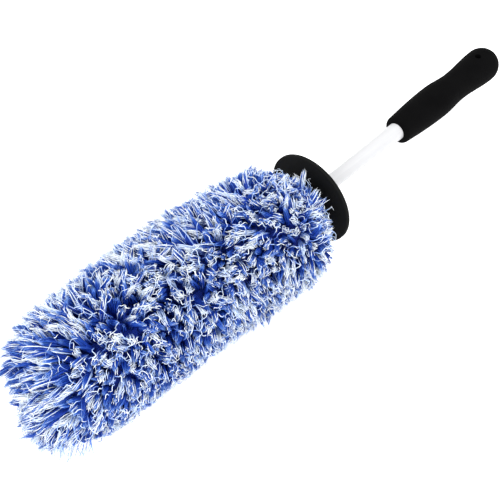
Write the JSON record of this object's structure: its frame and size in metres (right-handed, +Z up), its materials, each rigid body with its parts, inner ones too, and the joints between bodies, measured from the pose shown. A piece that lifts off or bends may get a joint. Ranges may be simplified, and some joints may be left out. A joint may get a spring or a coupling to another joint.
{
  "type": "wheel brush",
  "caption": "Plush-covered wheel brush with a foam-filled head, a round guard disc, a tapered stem and a contoured soft grip with a hanging hole.",
  "frame": {"origin": "centre of the brush's box on the surface it lies on", "axes": "+X along the brush from the head's tip to the grip's end, +Z up; the hanging hole runs along Z"},
  "size_m": [0.43, 0.088, 0.0855],
  "materials": {
    "soft_grip": "matte",
    "hard_insert": "matte",
    "white_stem": "satin",
    "guard_foam": "matte",
    "steel": "satin",
    "flexible_core": "satin",
    "cap_rubber": "matte",
    "sponge": "matte",
    "knit_backing": "matte",
    "seam_thread": "matte",
    "hem_tape": "matte",
    "elastic": "matte",
    "plush_blue": "matte",
    "plush_white": "matte"
  },
  "bodies": {
    "brush": {"grip_sleeve": "soft_grip", "grip_core": "hard_insert", "stem_pin": "steel", "stem": "white_stem", "guard_clip": "steel", "core_pin": "steel", "head_core": "flexible_core", "core_tip_cap": "cap_rubber", "foam_sleeve": "sponge", "foam_tip": "sponge", "cover_backing": "knit_backing", "cover_end_panel": "knit_backing", "side_seam": "seam_thread", "end_seam": "seam_thread", "hem_binding": "hem_tape", "hem_elastic": "elastic", "pile_side": "plush_blue", "pile_tip": "plush_blue"},
    "guard": {"guard_disc": "guard_foam"}
  },
  "joints": [
    {"name": "guard_turn", "type": "hinge", "parent": "brush", "child": "guard", "pos_m": [0.0115, 0, 0.0415], "axis": [1, 0, 0], "continuous": true}
  ]
}
